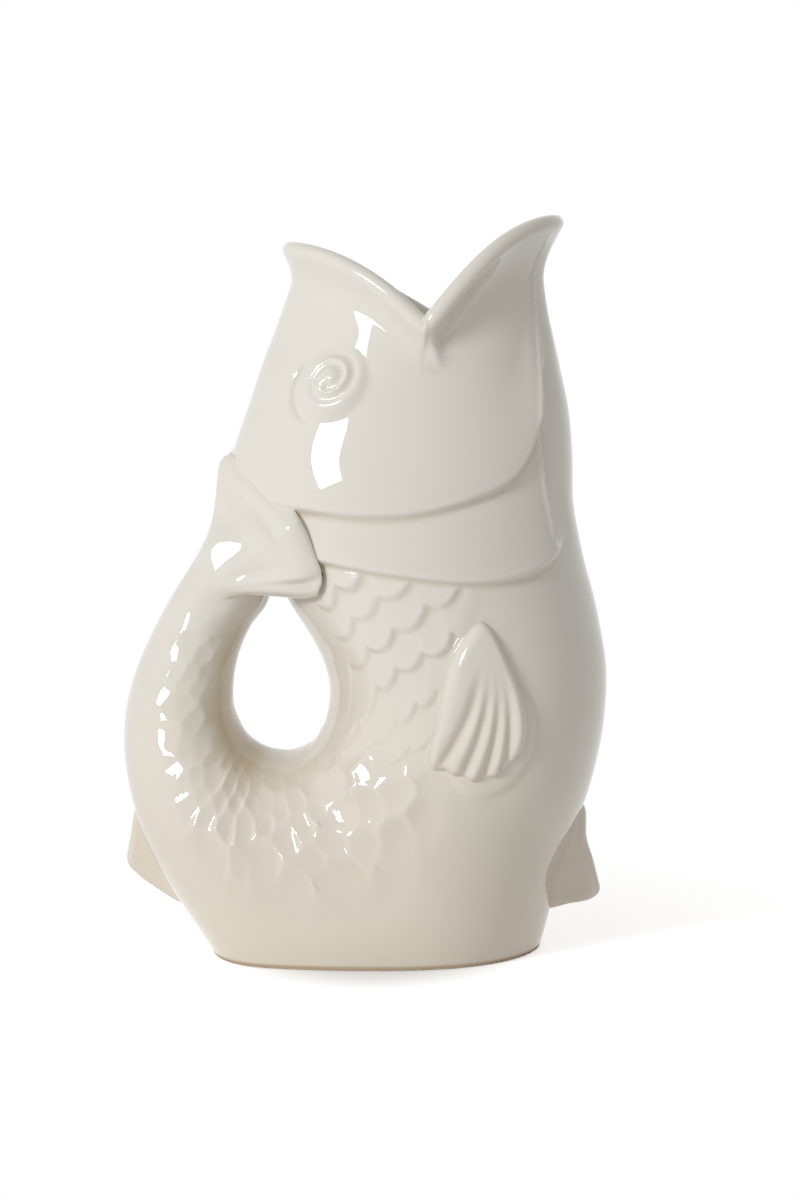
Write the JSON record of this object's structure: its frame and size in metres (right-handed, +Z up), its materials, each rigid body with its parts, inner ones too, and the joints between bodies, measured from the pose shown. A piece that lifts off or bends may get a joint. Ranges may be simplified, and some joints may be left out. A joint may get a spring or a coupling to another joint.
{
  "type": "fish-shaped jug",
  "caption": "Glazed pottery jug shaped as an upright fish: open mouth as pouring spout, tail curled up to the head as handle, side fins, spiral eyes, flat foot.",
  "frame": {"origin": "on the ground plane of the foot, under the middle of the jug's length and width", "axes": "+Z up out of the mouth, +X towards the pouring side, -X towards the tail handle, +Y across the jug"},
  "size_m": [0.1654, 0.1092, 0.25],
  "materials": {
    "body_glaze": "cream gloss glaze",
    "tail_glaze": "cream gloss glaze",
    "fin_glaze": "cream gloss glaze",
    "eye_glaze": "cream gloss glaze"
  },
  "bodies": {
    "root": {"head_shell": "body_glaze", "belly_shell": "body_glaze", "foot_shell": "body_glaze", "tail_handle": "tail_glaze", "tail_fluke": "tail_glaze", "pectoral_fin_left": "fin_glaze", "pectoral_fin_right": "fin_glaze", "front_keel_fin": "fin_glaze", "rear_keel_fin": "fin_glaze", "eye_left": "eye_glaze", "eye_right": "eye_glaze"}
  },
  "joints": []
}
